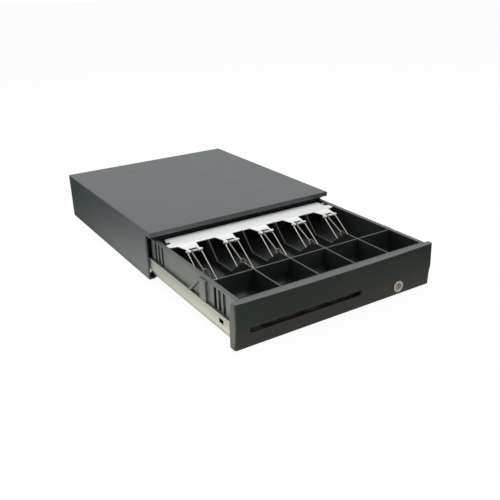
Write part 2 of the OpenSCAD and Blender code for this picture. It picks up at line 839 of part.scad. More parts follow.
module till_tray() {
  skirt_x = till_x - till_wall;
  rim_low_z = rim_z - till_wall;
  color(black) in_case() difference() {
    union() {
      translate([0, 0, shoulder_z]) linear_extrude(rim_z - shoulder_z)
        soft_rect([-till_x, till_y0], [till_x, till_y1], 3);
      block([-till_low_x, pan_y + 0.8, floor_z - floor_t], [till_low_x, till_y1 - 2, shoulder_z + eps]);
    }
    for (i = [0:4]) {
      coin_pocket(i);
      bill_pocket(i);
    }
    along_x(-cell_x, cell_x) divider_gap();
    block([-cell_x, plate_y0 - 1.5, plate_z], [cell_x, back_wall_y, rim_z + 1]);
    both_sides() {
      block([till_low_x, till_y0 + till_wall, shoulder_z - 1], [skirt_x, till_y1 - till_wall, rim_low_z]);
      for (y = [front_y + 75, till_y1 - 20], i = [0:2])
        block([skirt_x - 0.1, y - i * groove_pitch - groove_w / 2, shoulder_z - 1],
          [till_x + 1, y - i * groove_pitch + groove_w / 2, rim_low_z]);
    }
  }
  color(black) in_case() both_sides() difference() {
    rod_z(floor_z - eps, plate_z, boss_x, boss_y, boss_r);
    rod_z(floor_z + 10, plate_z + 1, boss_x, boss_y, plate_screw_r);
  }
}

module till_lugs() {
  x0 = till_x + 0.05;
  x1 = till_x + lug_w;
  post = 21;
  foot = 40;
  top_z = rim_z - 2;
  color(black) in_case() both_sides() along_x(x0, x1) difference() {
    polygon([[lug_y, shoulder_z], [lug_y, top_z], [lug_y + post - 1.5, top_z],
      [lug_y + post + foot, shoulder_z + 1.5], [lug_y + post + foot, shoulder_z]]);
    polygon([[lug_y + post, shoulder_z - 1], [lug_y + post, top_z - 6],
      [lug_y + post + foot - 5, shoulder_z - 1]]);
  }
}

module bill_plate() {
  tip_y = hinge_y + 1.2;
  prong_x = cell_x - 0.4;
  color(bright) in_case() difference() {
    union() {
      translate([0, 0, plate_z]) linear_extrude(plate_t) {
        translate([-plate_x, plate_y0]) square([2 * plate_x, plate_y1 - plate_y0]);
        for (s = [-1, 1]) {
          polygon([[s * plate_x, plate_y1], [s * (plate_x + 3), plate_y1 - 6], [s * (plate_x + 3), plate_y1 - 10],
            [s * plate_x, plate_y1 - 10]]);
          polygon([[s * plate_x, plate_y1 - 25], [s * (prong_x - 1), plate_y1 - 28],
            [s * prong_x, plate_y1 - 41], [s * plate_x, plate_y0]]);
        }
        for (c = clip_xs) polygon([[c - tab_base_half, plate_y0 + 1], [c - tab_half, tip_y],
          [c + tab_half, tip_y], [c + tab_base_half, plate_y0 + 1]]);
      }
      for (c = clip_xs, s = [-1, 1]) {
        x0 = s > 0 ? c + tab_half - eye_l : c - tab_half;
        rod_x(x0, x0 + eye_l, hinge_y, hinge_z, eye_r);
      }
    }
    for (c = clip_xs) {
      rod_x(c - 16, c + 16, hinge_y, hinge_z, pin_r);
      block([c - tab_half + eye_l, hinge_y - 5, hinge_z - 5], [c + tab_half - eye_l, hinge_y + 7, plate_z + 3]);
    }
    both_sides() {
      rod_z(plate_z - 1, plate_z + 3, boss_x, boss_y, plate_screw_r + 0.4);
      block([boss_x, boss_y - plate_screw_r - 0.4, plate_z - 1], [till_x, boss_y + plate_screw_r + 0.4, plate_z + 3]);
    }
  }
}

module plate_screws() {
  color(zinc) in_case() both_sides() {
    rod_z(plate_z - 12, plate_z + plate_t + eps, boss_x, boss_y, plate_screw_r);
    rod_z(plate_z + plate_t, plate_z + plate_t + 1.6, boss_x, boss_y, plate_screw_r * 2);
  }
}

module clip_pins() {
  x1 = clip_w / 2 + wire_eye_l / 2;
  color(zinc) in_case() for (c = clip_xs) {
    rod_x(c - x1 - 0.5, c + x1 + 0.5, hinge_y, hinge_z, pin_r);
    for (x = [c - x1 - 1.1, c + x1 + 0.5 - eps]) rod_x(x, x + 0.6, hinge_y, hinge_z, pin_r + 0.8);
  }
}

module clip_springs() {
  color(bright) in_case() for (c = clip_xs) {
    x0 = c - arm_side + arm_eye_l / 2 + gap;
    x1 = c + tab_half - eye_l - gap;
    difference() {
      rod_x(x0, x1, hinge_y, hinge_z, pin_r + 1.4);
      rod_x(x0 - 1, x1 + 1, hinge_y, hinge_z, pin_r + 0.4);
    }
  }
}

// the wire bail of clip i: two eyes on the pin, two legs and the cross bar that holds the bills
module bill_clip(i) {
  c = clip_xs[i];
  slope = atan2(clip_drop, clip_run);
  color(bright) in_case() difference() {
    union() {
      for (x = [c - clip_w / 2, c + clip_w / 2]) {
        rod_x(x - wire_eye_l / 2, x + wire_eye_l / 2, hinge_y, hinge_z, eye_r);
        translate([x, hinge_y, hinge_z]) rotate([90 + slope, 0, 0]) cylinder(h = clip_l, r = wire_r);
      }
      rod_x(c - clip_w / 2 - bar_end, c + clip_w / 2 + bar_end, bar_y, bar_z, bar_r);
    }
    rod_x(c - clip_w, c + clip_w, hinge_y, hinge_z, pin_r + running);
  }
}

// the middle arm of clip i: an eye on the pin, a wire and a leaning hoop that stands on the bills
module clip_arm(i) {
  x0 = clip_xs[i] - arm_side;
  slope = atan2(arm_drop, arm_run);
  join_x = arm_side - hoop_side;
  color(zinc) in_case() {
    difference() {
      union() {
        rod_x(x0 - arm_eye_l / 2, x0 + arm_eye_l / 2, hinge_y, hinge_z, eye_r);
        translate([x0, hinge_y, hinge_z]) rotate([90 + slope, 0, 0])
          cylinder(h = norm([arm_drop, arm_run]), r = arm_r);
      }
      rod_x(x0 - arm_eye_l, x0 + arm_eye_l, hinge_y, hinge_z, pin_r + running);
    }
    translate([clip_xs[i] - hoop_side, hinge_y - arm_run, hinge_z - arm_drop]) rotate([-hoop_lean, 0, 0])
      translate([0, 0, -sqrt(hoop_r * hoop_r - join_x * join_x)]) {
        rotate([90, 0, 0]) rotate_extrude(angle = 180) translate([hoop_r, 0]) circle(r = hoop_wire_r);
        for (s = [-1, 1]) translate([s * hoop_r, 0, -hoop_l]) cylinder(h = hoop_l, r = hoop_wire_r);
      }
  }
}

case_cover();
base_plate();
rear_panel();
front_crossbar();
left_runner();
right_runner();
roller_axles();
front_roller_left();
front_roller_right();
drawer_stops();
feet();
base_screws();
rear_screws();
latch_bracket();
latch_pivot_pin();
latch_lever();
solenoid_frame();
solenoid_coil();
solenoid_plunger();
plunger_spring();
kick_spring();
spring_rod();
micro_switch();
switch_button();
cable_socket();
socket_lead();
drawer_pan();
left_rail();
right_rail();
rail_rivets();
rear_axles();
rear_roller_left();
rear_roller_right();
striker();
fascia();
fascia_screws();
lock_housing();
lock_nut();
lock_plug();
lock_cam();
till_tray();
till_lugs();
bill_plate();
plate_screws();
clip_pins();
clip_springs();
for (i = [0:4]) bill_clip(i);
for (i = [0:4]) clip_arm(i);
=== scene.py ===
import json
import math

import bmesh
import bpy
from mathutils import Matrix, Vector


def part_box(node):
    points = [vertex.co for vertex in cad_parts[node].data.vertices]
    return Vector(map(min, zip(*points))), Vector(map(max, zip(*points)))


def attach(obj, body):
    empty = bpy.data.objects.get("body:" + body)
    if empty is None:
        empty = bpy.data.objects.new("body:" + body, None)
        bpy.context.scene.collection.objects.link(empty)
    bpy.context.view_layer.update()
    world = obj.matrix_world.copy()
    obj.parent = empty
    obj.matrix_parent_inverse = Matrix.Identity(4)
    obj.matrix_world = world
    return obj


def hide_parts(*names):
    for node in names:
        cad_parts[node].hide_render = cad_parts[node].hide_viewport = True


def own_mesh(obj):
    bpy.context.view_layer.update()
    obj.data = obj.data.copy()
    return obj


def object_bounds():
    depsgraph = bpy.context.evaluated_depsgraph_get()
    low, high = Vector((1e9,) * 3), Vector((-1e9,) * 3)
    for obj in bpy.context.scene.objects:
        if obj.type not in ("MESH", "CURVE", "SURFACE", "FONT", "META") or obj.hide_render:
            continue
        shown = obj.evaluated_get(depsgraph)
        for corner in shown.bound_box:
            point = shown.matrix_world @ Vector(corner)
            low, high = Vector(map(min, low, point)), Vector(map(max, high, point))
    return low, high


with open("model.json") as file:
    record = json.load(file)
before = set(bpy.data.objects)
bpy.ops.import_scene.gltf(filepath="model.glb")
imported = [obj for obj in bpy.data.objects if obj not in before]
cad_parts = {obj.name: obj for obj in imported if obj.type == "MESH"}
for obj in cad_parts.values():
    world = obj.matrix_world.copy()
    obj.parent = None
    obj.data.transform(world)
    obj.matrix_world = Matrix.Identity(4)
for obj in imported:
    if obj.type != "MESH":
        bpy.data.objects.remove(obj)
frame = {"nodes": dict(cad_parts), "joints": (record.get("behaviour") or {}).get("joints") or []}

cad_low, cad_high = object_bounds()

# ---- camera ----
# A long lens on a stand, a little above the open drawer and to its left. It looks at the middle of
# the drawer, and leans slightly to one side.
aim = Vector((-0.0324, -0.1482, 0.053))
azimuth, elevation, roll = math.radians(-31.495), math.radians(23.164), math.radians(-1.69)
distance = 1.2286
back = Vector((math.sin(azimuth) * math.cos(elevation), -math.cos(azimuth) * math.cos(elevation),
               math.sin(elevation)))
level = Vector((math.cos(azimuth), math.sin(azimuth), 0))
upright = back.cross(level)
side = level * math.cos(roll) + upright * math.sin(roll)
rise = upright * math.cos(roll) - level * math.sin(roll)
camera_data = bpy.data.cameras.new("camera")
camera_data.lens, camera_data.sensor_width = 46.69, 36
camera = bpy.data.objects.new("camera", camera_data)
facing = Matrix((side, rise, back)).transposed().to_4x4()
camera.matrix_world = Matrix.Translation(aim + back * distance) @ facing
bpy.context.scene.collection.objects.link(camera)
bpy.context.scene.camera = camera
bpy.context.scene.view_settings.view_transform = "Standard"


# ---- studio ----
# A white table in a white room, under soft lamps that the camera doesn't see. The room's white is
# there for the camera and the gloss alone: what lights the object is the lamps and a weak, cool fill.
def set_links(tree, *pairs):
    for out_socket, in_socket in pairs:
        tree.links.new(out_socket, in_socket)


def add(tree, kind, operation=None, values=None):
    """A shader node, with its operation and the values of its inputs."""
    node = tree.nodes.new("ShaderNode" + kind)
    if operation:
        node.operation = operation
    for name, value in (values or {}).items():
        node.inputs[name].default_value = value
    return node


def ramp(tree, start, end, low=0, high=1):
    """A node that goes from low to high while its value goes from start to end."""
    return add(tree, "MapRange", values={"From Min": start, "From Max": end, "To Min": low, "To Max": high})


def colour_mix(tree, second, first=(1, 1, 1)):
    """A node that goes from the first colour to the second while its factor goes from 0 to 1."""
    mix = add(tree, "Mix")
    mix.data_type = "RGBA"
    mix.inputs["A"].default_value = (*first, 1)
    mix.inputs["B"].default_value = (*second, 1)
    return mix


def seen_white(tree):
    """1 for rays from the camera, from gloss and through glass; 0 for light that falls on the object."""
    rays = add(tree, "LightPath")
    seen = add(tree, "Math", "MAXIMUM")
    also = add(tree, "Math", "MAXIMUM")
    set_links(tree, (rays.outputs["Is Camera Ray"], seen.inputs[0]),
              (rays.outputs["Is Glossy Ray"], seen.inputs[1]), (seen.outputs[0], also.inputs[0]),
              (rays.outputs["Is Transmission Ray"], also.inputs[1]))
    return also.outputs[0]


world = bpy.data.worlds.new("room")
bpy.context.scene.world = world
world.use_nodes = True
room = world.node_tree
room.nodes.clear()
fill = add(room, "Background", values={"Color": (0.95, 0.98, 1, 1), "Strength": 0.3})
white = add(room, "Background", values={"Color": (1, 1, 1, 1), "Strength": 1})
either = add(room, "MixShader")
room_out = add(room, "OutputWorld")
set_links(room, (seen_white(room), either.inputs[0]), (fill.outputs[0], either.inputs[1]),
          (white.outputs[0], either.inputs[2]), (either.outputs[0], room_out.inputs[0]))

table_size, table_gap, glow_share, glow_strength = 30, 0.0002, 0.9, 1.05
bpy.ops.object.select_all(action="DESELECT")
bpy.ops.mesh.primitive_plane_add(size=table_size, location=(0, 0, cad_low.z - table_gap))
table = bpy.context.active_object
table.name = "table"
table_white = bpy.data.materials.new("table_white")
table_white.use_nodes = True
tree = table_white.node_tree
tree.nodes.clear()
paper = add(tree, "BsdfDiffuse", values={"Color": (0.82, 0.82, 0.82, 1)})
glow = add(tree, "Emission")
share = add(tree, "Math", "MULTIPLY", {1: glow_share})
both = add(tree, "MixShader")
table_out = add(tree, "OutputMaterial")
set_links(tree, (seen_white(tree), share.inputs[0]), (share.outputs[0], both.inputs[0]),
          (paper.outputs[0], both.inputs[1]), (glow.outputs[0], both.inputs[2]),
          (both.outputs[0], table_out.inputs[0]))
# the gloss sees a sheet that is bright beside the drawer and dims away from it and towards the back
drawer_reach = (0.205, 0.385, 0)
place = add(tree, "TexCoord")
outward = add(tree, "VectorMath", "ABSOLUTE")
beyond = add(tree, "VectorMath", "SUBTRACT", {1: drawer_reach})
positive = add(tree, "VectorMath", "MAXIMUM", {1: (0, 0, 0)})
away = add(tree, "VectorMath", "LENGTH")
dimmed = ramp(tree, 0, 0.2, low=0.8, high=0.04)
dimmed.interpolation_type = "SMOOTHSTEP"
along = add(tree, "SeparateXYZ")
backward = ramp(tree, -0.2, 0.38, low=1, high=0.1)
leftward = ramp(tree, -0.2, -0.23, low=1, high=3)
lit = add(tree, "Math", "MULTIPLY")
sheet_light = add(tree, "Math", "MULTIPLY")
rays = add(tree, "LightPath")
strength = add(tree, "Mix", values={"A": glow_strength})
warmth = colour_mix(tree, (0.99, 1, 0.91))
set_links(tree, (place.outputs["Object"], outward.inputs[0]), (outward.outputs[0], beyond.inputs[0]),
          (beyond.outputs[0], positive.inputs[0]), (positive.outputs[0], away.inputs[0]),
          (away.outputs["Value"], dimmed.inputs["Value"]), (place.outputs["Object"], along.inputs[0]),
          (along.outputs["Y"], backward.inputs["Value"]), (dimmed.outputs[0], lit.inputs[0]),
          (backward.outputs[0], lit.inputs[1]), (along.outputs["X"], leftward.inputs["Value"]),
          (lit.outputs[0], sheet_light.inputs[0]), (leftward.outputs[0], sheet_light.inputs[1]),
          (rays.outputs["Is Glossy Ray"], strength.inputs["Factor"]),
          (sheet_light.outputs[0], strength.inputs["B"]),
          (strength.outputs["Result"], glow.inputs["Strength"]),
          (rays.outputs["Is Glossy Ray"], warmth.inputs["Factor"]),
          (warmth.outputs["Result"], glow.inputs["Color"]))
table.data.materials.append(table_white)


def soft_lamp(name, at, towards, size, power):
    lamp_data = bpy.data.lights.new(name, "AREA")
    lamp_data.shape = "RECTANGLE"
    lamp_data.size, lamp_data.size_y = size
    lamp_data.energy = power
    lamp = bpy.data.objects.new(name, lamp_data)
    lamp.location = at
    lamp.rotation_euler = (Vector(towards) - Vector(at)).to_track_quat("-Z", "Y").to_euler()
    lamp.visible_camera = False
    bpy.context.scene.collection.objects.link(lamp)


soft_lamp("overhead", at=(0.1, 0.5, 1.9), towards=(0, -0.1, 0), size=(1.6, 1.2), power=25)
soft_lamp("left_low", at=(-0.6, -0.35, 0.03), towards=(-0.2, -0.05, 0), size=(0.3, 0.05), power=2.4)
soft_lamp("front_high", at=(0.5, -1.6, 1.5), towards=(0, -0.38, 0.05), size=(0.5, 0.4), power=7)


# ---- case cover ----
# The folded steel shell: top, both sides and the lip over the drawer in one sheet, powder coated a
# dark satin grey. Screws through its turned-in bottom flanges hold the base plate.
def in_edit(*steps):
    """Runs steps in edit mode on the active object."""
    bpy.ops.object.mode_set(mode="EDIT")
    for step in steps:
        step()
    bpy.ops.object.mode_set(mode="OBJECT")


def select_all():
    bpy.ops.mesh.select_all(action="SELECT")


def only(piece):
    bpy.ops.object.select_all(action="DESELECT")
    piece.select_set(True)
    bpy.context.view_layer.objects.active = piece


def apply_all(piece):
    only(piece)
    for modifier in list(piece.modifiers):
        bpy.ops.object.modifier_apply(modifier=modifier.name)


def round_edges(piece, width, steps=2, corner=35):
    """Rounds every edge sharper than corner degrees, and keeps the flat faces flat."""
    only(piece)
    bevel = piece.modifiers.new("edges", "BEVEL")
    bevel.width = width
    bevel.segments = steps
    bevel.limit_method = "ANGLE"
    bevel.angle_limit = math.radians(corner)
    apply_all(piece)
    bpy.ops.object.shade_smooth_by_angle(angle=math.radians(corner + 5))
    piece.modifiers.new("flats", "WEIGHTED_NORMAL").keep_sharp = True
    apply_all(piece)


def bench_copy(node, flat=0.4):
    """A copy of a CAD node, with triangles within flat degrees of each other joined into faces."""
    piece = frame["nodes"][node].copy()
    piece.data = piece.data.copy()
    piece.name = piece.data.name = node + "_made"
    piece.parent = None
    for key in list(piece.keys()):
        del piece[key]
    bpy.context.scene.collection.objects.link(piece)
    only(piece)
    bpy.ops.mesh.customdata_custom_splitnormals_clear()
    in_edit(select_all, lambda: bpy.ops.mesh.remove_doubles(threshold=1e-6),
            lambda: bpy.ops.mesh.dissolve_limited(angle_limit=math.radians(flat)))
    return piece


def settle(piece, body, material, node):
    """Gives a finished piece its material and its body, and hides the CAD node that it stands for."""
    piece.data.materials.clear()
    piece.data.materials.append(material)
    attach(piece, body)
    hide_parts(node)


def made_from(node, body, material, edge, steps=2):
    """A piece with the form of its CAD node, and with every edge rounded by the width edge."""
    piece = bench_copy(node)
    round_edges(piece, edge, steps)
    settle(piece, body, material, node)


def new_group(name, **inputs):
    """A group of shader nodes with its inputs' first values, and its two ends."""
    group = bpy.data.node_groups.new(name, "ShaderNodeTree")
    for title, value in inputs.items():
        kind = "NodeSocketVector" if isinstance(value, tuple) else "NodeSocketFloat"
        group.interface.new_socket(name=title, in_out="INPUT", socket_type=kind).default_value = value
    return group, group.nodes.new("NodeGroupInput"), group.nodes.new("NodeGroupOutput")


def give_out(group, *titles):
    for title in titles:
        group.interface.new_socket(name=title, in_out="OUTPUT", socket_type="NodeSocketFloat")


def surface_grain():
    """Fine height and broad shade over a surface, from noise in the object's own place."""
    group, given, put = new_group("surface_grain", Scale=900, Broad=12, Stretch=(1, 1, 1))
    give_out(group, "Height", "Shade")
    place = add(group, "TexCoord")
    drawn = add(group, "VectorMath", "MULTIPLY")
    fine = add(group, "TexNoise", values={"Detail": 3})
    broad = add(group, "TexNoise", values={"Detail": 5})
    set_links(group, (place.outputs["Object"], drawn.inputs[0]), (given.outputs["Stretch"], drawn.inputs[1]),
              (drawn.outputs[0], fine.inputs["Vector"]), (drawn.outputs[0], broad.inputs["Vector"]),
              (given.outputs["Scale"], fine.inputs["Scale"]), (given.outputs["Broad"], broad.inputs["Scale"]),
              (fine.outputs[0], put.inputs["Height"]), (broad.outputs[0], put.inputs["Shade"]))
    return group


def edge_wear():
    """A mask that is 1 along the outer edges, broken up by noise."""
    group, given, put = new_group("edge_wear", Width=0.0006, Amount=0.5)
    give_out(group, "Mask")
    rounded = add(group, "Bevel")
    rounded.samples = 4
    true = add(group, "NewGeometry")
    turned = add(group, "VectorMath", "DOT_PRODUCT")
    flat, sharp = 0.98, 0.86
    near = ramp(group, flat, sharp)
    place = add(group, "TexCoord")
    broken = add(group, "TexNoise", values={"Scale": 160, "Detail": 6})
    bare = add(group, "Math", "MULTIPLY")
    amount = add(group, "Math", "MULTIPLY")
    set_links(group, (given.outputs["Width"], rounded.inputs["Radius"]),
              (rounded.outputs[0], turned.inputs[0]), (true.outputs["Normal"], turned.inputs[1]),
              (turned.outputs["Value"], near.inputs["Value"]),
              (place.outputs["Object"], broken.inputs["Vector"]), (near.outputs[0], bare.inputs[0]),
              (broken.outputs[0], bare.inputs[1]), (bare.outputs[0], amount.inputs[0]),
              (given.outputs["Amount"], amount.inputs[1]), (amount.outputs[0], put.inputs["Mask"]))
    return group


nowhere = 9


def painted_light_zone():
    """A mask that is 1 above a height and beyond a distance from the middle, where a lighter colour is
    painted as the light on lit tops and outer sides.
    """
    group, given, put = new_group("painted_light_zone", Height=nowhere, Reach=nowhere)
    give_out(group, "Mask")
    fade = 0.0004
    place = add(group, "TexCoord")
    parts = add(group, "SeparateXYZ")
    out = add(group, "Math", "ABSOLUTE")
    set_links(group, (place.outputs["Object"], parts.inputs[0]), (parts.outputs["X"], out.inputs[0]))
    higher = add(group, "Math", "MAXIMUM")
    for k, (measured, limit) in enumerate(((parts.outputs["Z"], "Height"), (out.outputs[0], "Reach"))):
        past = add(group, "Math", "SUBTRACT")
        faded = ramp(group, 0, fade)
        set_links(group, (measured, past.inputs[0]), (given.outputs[limit], past.inputs[1]),
                  (past.outputs[0], faded.inputs["Value"]), (faded.outputs[0], higher.inputs[k]))
    set_links(group, (higher.outputs[0], put.inputs["Mask"]))
    return group


grain_nodes, wear_nodes, painted_light_zone_nodes = surface_grain(), edge_wear(), painted_light_zone()


def use_group(tree, group, values):
    used = tree.nodes.new("ShaderNodeGroup")
    used.node_tree = group
    for title, value in values.items():
        used.inputs[title].default_value = value
    return used


def finish(name, deep, pale, worn, rough, metal=0, grain=900, broad=12, stretch=(1, 1, 1), depth=0.00003,
           wear=0.4, wear_width=0.0006, shine=0.5, painted_light_colour=None, top=nowhere, flank=nowhere):
    """A surface whose colour drifts from deep to pale and turns to worn on its edges.

    Above the height top and beyond the distance flank from the middle it takes the lighter colour given for
    painted light, which stands in for the light on lit tops and outer sides.
    """
    material = bpy.data.materials.new(name)
    material.use_nodes = True
    tree = material.node_tree
    shader = tree.nodes["Principled BSDF"]
    shader.inputs["Metallic"].default_value = metal
    shader.inputs["Specular IOR Level"].default_value = shine
    grained = use_group(tree, grain_nodes, {"Scale": grain, "Broad": broad, "Stretch": stretch})
    edged = use_group(tree, wear_nodes, {"Width": wear_width, "Amount": wear})
    light_zone_node = use_group(tree, painted_light_zone_nodes, {"Height": top, "Reach": flank})
    darkest, palest = 0.3, 0.7
    spread = ramp(tree, darkest, palest)
    gloss = ramp(tree, darkest, palest, *rough)
    drift = colour_mix(tree, pale, deep)
    # painted light: a lighter colour on the top band and the outer flanks, where the lamps fall
    painted_light_mix = colour_mix(tree, painted_light_colour or worn)
    rubbed = colour_mix(tree, worn)
    bump = add(tree, "Bump", values={"Distance": depth})
    set_links(tree, (grained.outputs["Shade"], spread.inputs["Value"]),
              (spread.outputs[0], drift.inputs["Factor"]), (drift.outputs["Result"], painted_light_mix.inputs["A"]),
              (light_zone_node.outputs["Mask"], painted_light_mix.inputs["Factor"]),
              (painted_light_mix.outputs["Result"], rubbed.inputs["A"]),
              (edged.outputs["Mask"], rubbed.inputs["Factor"]),
              (rubbed.outputs["Result"], shader.inputs["Base Color"]),
              (grained.outputs["Shade"], gloss.inputs["Value"]),
              (gloss.outputs[0], shader.inputs["Roughness"]),
              (grained.outputs["Height"], bump.inputs["Height"]), (bump.outputs[0], shader.inputs["Normal"]))
    return material


case_paint = finish("case_paint", deep=(0.037, 0.047, 0.05), pale=(0.047, 0.059, 0.062),
                    worn=(0.16, 0.17, 0.165), rough=(0.42, 0.5), grain=1400, depth=0.00004, wear=0.35,
                    shine=0.6)
made_from("case_cover", "case", case_paint, edge=0.0003)

# ---- base plate, rear panel and front crossbar ----
# The base with its turned-up front sill, the rear sheet with its flanges, and the channel that stiffens
# the top over the drawer. Same steel and paint as the cover; spot welded or screwed to it.
for node in ("base_plate", "rear_panel", "front_crossbar"):
    made_from(node, "case", case_paint, edge=0.0003)

# ---- runners and the frame of the release ----
# Zinc-plated steel, satin, with the cloudy grain of the plating: the channels that the drawer rolls in,
# their roller axles, the bracket, pin and yoke of the electric release, and the rod of the kick spring.
# All of them are fixed inside the case.
zinc = finish("inner_zinc", deep=(0.42, 0.42, 0.39), pale=(0.62, 0.62, 0.6), worn=(0.75, 0.75, 0.74),
              rough=(0.32, 0.5), metal=1, grain=500, broad=60, depth=0.00001, wear=0.3)
for node in ("left_runner", "right_runner", "roller_axles", "latch_bracket", "latch_pivot_pin",
             "solenoid_frame", "spring_rod"):
    made_from(node, "case", zinc, edge=0.0002)

# ---- latch lever ----
# A stamped steel lever with the tooth that holds the drawer, plated like its bracket. It swings on the
# bracket's pivot pin, and the coil's plunger lifts its tail.
made_from("latch_lever", "latch", zinc, edge=0.0003)

# ---- drawer pan and its fittings ----
# The plated steel pan that carries the till, with the rivets of its rails, the axles of its rear
# rollers, the tongue that the latch holds, and the nut behind the lock.
for node in ("drawer_pan", "rail_rivets", "rear_axles", "striker", "lock_nut"):
    made_from(node, "drawer", zinc, edge=0.0002)

# ---- lock cam ----
# A flat plated steel cam on the end of the lock's plug. Turned a quarter, it hooks behind the sill of
# the base plate.
made_from("lock_cam", "lock", zinc, edge=0.0003)

# ---- rollers ----
# Natural nylon wheels, turned smooth, that run loose on steel axles: two at the front of the case and
# two at the rear of the drawer.
nylon = finish("roller_nylon", deep=(0.72, 0.72, 0.66), pale=(0.82, 0.82, 0.78), worn=(0.6, 0.6, 0.55),
               rough=(0.35, 0.45), grain=700, depth=0.00002)
for node, body in (("front_roller_left", "roller_fl"), ("front_roller_right", "roller_fr"),
                   ("rear_roller_left", "roller_rl"), ("rear_roller_right", "roller_rr")):
    made_from(node, body, nylon, edge=0.0004, steps=3)

# ---- rubber stops, feet and socket lead ----
# Moulded black rubber: the end stops pressed into the runners, the four feet under the base plate, and
# the sheath of the short lead between the socket and the coil.
rubber = finish("stop_rubber", deep=(0.012, 0.012, 0.012), pale=(0.022, 0.022, 0.022),
                worn=(0.06, 0.06, 0.06), rough=(0.7, 0.85), grain=1100, depth=0.00006)
for node in ("drawer_stops", "feet"):
    made_from(node, "case", rubber, edge=0.0006, steps=3)
settle(bench_copy("socket_lead"), "case", rubber, "socket_lead")

# ---- drawer rails ----
# The bright sides of the drawer: rolled steel channels with a grain along their length and a square
# hole near the front. Rivets hold them to the pan.
rail_steel = finish("rail_steel", deep=(0.2, 0.2, 0.18), pale=(0.42, 0.42, 0.39), worn=(0.7, 0.7, 0.68),
                    rough=(0.34, 0.5), metal=1, grain=700, broad=40, stretch=(1, 0.05, 1), depth=0.00001)
for node in ("left_rail", "right_rail"):
    made_from(node, "drawer", rail_steel, edge=0.0002)

# ---- drawer front ----
# One moulding of fine-grained dark grey plastic, bowed in plan, with the media slot and a stepped foot.
# The foot is painted browner and darker as painted shade, a painted shadow line lies under the step beside
# the slot, and a painted highlight makes the top edge pale.
# Four screws hold it to the pan.
step_height, step_fade = 0.045, (0.0002, -0.0003)
# where the painted shadow line under the step lies: its height, half its height, and where it starts beside
# the slot
shadow_line_height, shadow_line_half, shadow_line_start = 0.043, 0.0012, 0.043
# the paler colour above top is a painted highlight on the top edge, where the overhead light falls
front_plastic = finish("front_plastic", deep=(0.015, 0.022, 0.0155), pale=(0.02, 0.0275, 0.02),
                       worn=(0.05, 0.055, 0.05), rough=(0.42, 0.5), grain=1300, depth=0.00005, shine=0.35,
                       painted_light_colour=(0.095, 0.1, 0.1), top=0.0875)
tree = front_plastic.node_tree
light_zone_node = next(node for node in tree.nodes if node.type == "GROUP" and node.node_tree == painted_light_zone_nodes)
painted_light_mix = light_zone_node.outputs["Mask"].links[0].to_node
plain = painted_light_mix.inputs["A"].links[0].from_socket
place = add(tree, "TexCoord")
parts = add(tree, "SeparateXYZ")
# painted shade: the foot below the step is painted browner and darker, standing in for the shade it lies in
foot_shade_band = ramp(tree, *(step_height + fade for fade in step_fade))
foot_painted_shade = colour_mix(tree, (0.0205, 0.0205, 0.0155))
# painted shadow: a near-black line under the step, right of the slot, stands in for the shade under the
# overhang
under_step = add(tree, "Math", "COMPARE", {1: shadow_line_height, 2: shadow_line_half})
beside_slot = add(tree, "Math", "GREATER_THAN", {1: shadow_line_start})
in_step_shadow = add(tree, "Math", "MULTIPLY")
step_painted_shadow = colour_mix(tree, (0.002, 0.002, 0.002))
set_links(tree, (place.outputs["Object"], parts.inputs[0]), (parts.outputs["Z"], foot_shade_band.inputs["Value"]),
          (foot_shade_band.outputs[0], foot_painted_shade.inputs["Factor"]), (plain, foot_painted_shade.inputs["A"]),
          (parts.outputs["Z"], under_step.inputs[0]), (parts.outputs["X"], beside_slot.inputs[0]),
          (under_step.outputs[0], in_step_shadow.inputs[0]), (beside_slot.outputs[0], in_step_shadow.inputs[1]),
          (in_step_shadow.outputs[0], step_painted_shadow.inputs["Factor"]), (foot_painted_shade.outputs["Result"], step_painted_shadow.inputs["A"]),
          (step_painted_shadow.outputs["Result"], painted_light_mix.inputs["A"]))
front = bench_copy("fascia", flat=0.05)
front_low, front_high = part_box("fascia")
corner_depth, corner_height, corner_flush, corner_round = 0.0075, 0.02, 0.0003, 0.0035
slot_left, slot_right, slot_bottom, slot_top = -0.178, 0.0445, 0.031, 0.041
lip_depth, lip_level, lip_round = 0.009, 0.0005, 0.0013


def at_end_corner(*ends):
    """An upright front edge at either end of the front."""
    return (all(abs(abs(end.x) - front_high.x) < corner_flush and end.y < front_low.y + corner_depth
                for end in ends)
            and abs(ends[0].z - ends[1].z) > corner_height)


def on_slot_lip(*ends):
    """A front edge of the media slot."""
    return (all(slot_left < end.x < slot_right and slot_bottom < end.z < slot_top
                and end.y < front_low.y + lip_depth for end in ends)
            and abs(ends[0].y - ends[1].y) < lip_level)


def round_where(wanted, width, steps):
    """Rounds the front's edges whose two ends are as wanted."""
    bpy.ops.mesh.select_all(action="DESELECT")
    mesh = bmesh.from_edit_mesh(front.data)
    for edge in mesh.edges:
        edge.select_set(wanted(*(corner.co for corner in edge.verts)))
    bmesh.update_edit_mesh(front.data)
    bpy.ops.mesh.bevel(offset=width, segments=steps, affect="EDGES")


only(front)
in_edit(lambda: bpy.ops.mesh.select_mode(type="EDGE"),
        lambda: round_where(at_end_corner, corner_round, steps=5),
        lambda: round_where(on_slot_lip, lip_round, steps=4))
round_edges(front, width=0.0008, steps=3)
settle(front, "drawer", front_plastic, "fascia")

